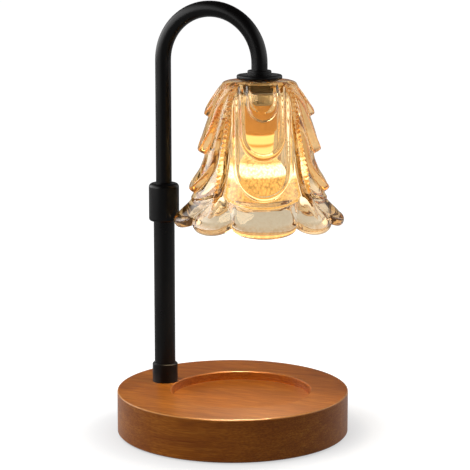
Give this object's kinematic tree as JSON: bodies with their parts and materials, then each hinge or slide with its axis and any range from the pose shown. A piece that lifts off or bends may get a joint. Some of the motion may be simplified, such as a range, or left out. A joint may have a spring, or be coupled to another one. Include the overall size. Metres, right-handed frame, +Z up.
{
  "type": "candle warmer lamp",
  "caption": "Candle warmer lamp: a tiered petal glass shade and reflector bulb hang from a height-adjustable, swivelling gooseneck over a round wooden base with a recess.",
  "frame": {"origin": "centre of the base on the table, at the underside of the foam pad", "axes": "+Z up; +X from the post across the base's centre towards the shade; +Y completes the right hand"},
  "size_m": [0.175, 0.175, 0.3256],
  "materials": {
    "stained_wood": "brown stain under satin lacquer, fine straight grain",
    "foam_pad": "dense black foam",
    "black_nylon": "moulded nylon",
    "zinc_plated_steel": "bright zinc plate",
    "black_powder_coat": "satin black powder coat",
    "brass": "turned brass",
    "white_nylon": "natural nylon",
    "lead_sheath": "round silicone sheath",
    "amber_glass": "clear pressed glass with a pale amber tint",
    "black_rubber": "silicone rubber",
    "white_ceramic": "unglazed steatite",
    "reflector_glass": "dichroic mirror coat inside pressed glass",
    "clear_glass": "clear"
  },
  "bodies": {
    "root": {"wooden_base": "stained_wood", "base_pad": "foam_pad", "cable_gland": "black_nylon", "cord_clamp": "black_nylon", "clamp_screws": "zinc_plated_steel", "foot_collar": "black_powder_coat", "lower_tube": "black_powder_coat", "tube_plug": "zinc_plated_steel", "foot_nipple": "zinc_plated_steel", "foot_washer": "zinc_plated_steel", "foot_nut": "zinc_plated_steel", "tube_ferrule": "brass", "split_collet": "white_nylon"},
    "lock": {"lock_collar": "black_powder_coat", "thrust_ring": "white_nylon"},
    "lift": {"guide_bush": "white_nylon"},
    "arm": {"stop_ring": "zinc_plated_steel", "gooseneck_tube": "black_powder_coat", "lamp_lead": "lead_sheath", "step_collar": "black_powder_coat", "cap_disc": "black_powder_coat", "outer_gasket": "black_rubber", "glass_shade": "amber_glass", "inner_gasket": "black_rubber", "shade_washer": "zinc_plated_steel", "shade_nut": "zinc_plated_steel", "holder_nipple": "zinc_plated_steel", "holder_bridge": "zinc_plated_steel", "holder_screws": "zinc_plated_steel", "lamp_holder": "white_ceramic", "holder_contacts": "brass"},
    "bulb": {"bulb_pins": "zinc_plated_steel", "bulb_base": "white_ceramic", "bulb_reflector": "reflector_glass", "front_glass": "clear_glass", "lamp_capsule": "clear_glass"}
  },
  "joints": [
    {"name": "lock_turn", "type": "hinge", "parent": "root", "child": "lock", "pos_m": [-0.0566, 0, 0.173], "axis": [0, 0, 1], "range_deg": [0, 120]},
    {"name": "height_slide", "type": "slide", "parent": "root", "child": "lift", "axis": [0, 0, 1], "range_m": [-0.045, 0.035]},
    {"name": "arm_swivel", "type": "hinge", "parent": "lift", "child": "arm", "pos_m": [-0.0566, 0, 0.12], "axis": [0, 0, 1], "range_deg": [-90, 90]},
    {"name": "bulb_turn", "type": "hinge", "parent": "arm", "child": "bulb", "pos_m": [0.0214, 0, 0.22], "axis": [0, 0, 1], "range_deg": [-40, 0]}
  ]
}
